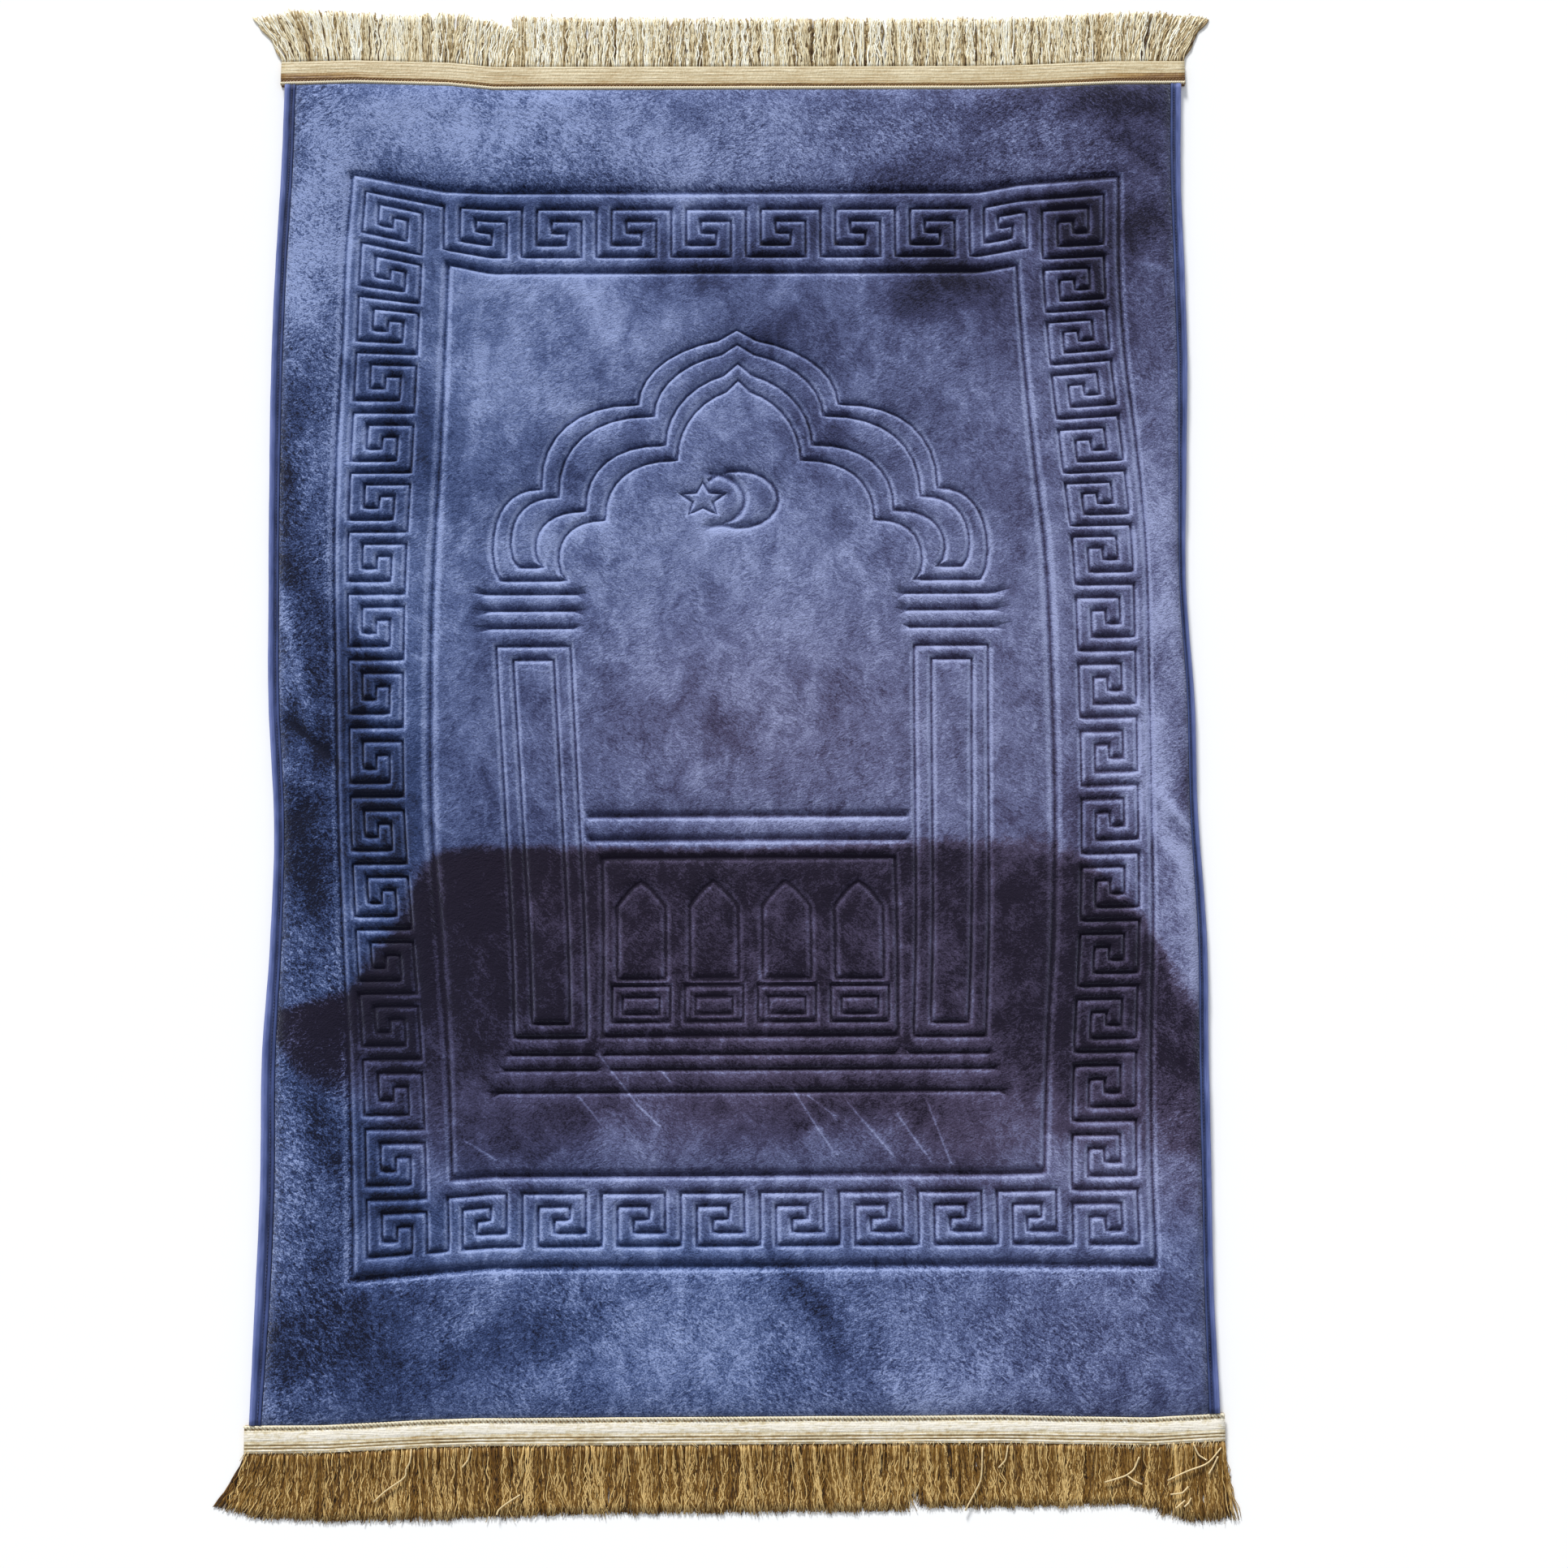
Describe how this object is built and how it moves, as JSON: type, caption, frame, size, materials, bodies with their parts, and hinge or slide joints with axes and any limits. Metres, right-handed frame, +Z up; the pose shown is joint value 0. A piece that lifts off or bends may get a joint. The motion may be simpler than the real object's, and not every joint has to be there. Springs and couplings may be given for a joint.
{
  "type": "prayer rug",
  "caption": "Padded plush prayer rug with a pressed arch, windows and key border, bound sides and fringed ends, laid flat.",
  "frame": {"origin": "centre of the rug with its fringes, on the floor it lies on", "axes": "+Y along the rug towards the far end, where the arch points, +X to the right of someone who kneels on it, +Z up"},
  "size_m": [0.8536, 1.3186, 0.0119],
  "materials": {
    "plush": "soft dense plush, pressed",
    "binding": "satin tape",
    "pale_fringe": "glossy yarn",
    "gold_fringe": "glossy yarn"
  },
  "bodies": {
    "root": {"mat": "plush", "binding_left": "binding", "binding_right": "binding", "fringe_far": "pale_fringe", "fringe_near": "gold_fringe"}
  },
  "joints": []
}
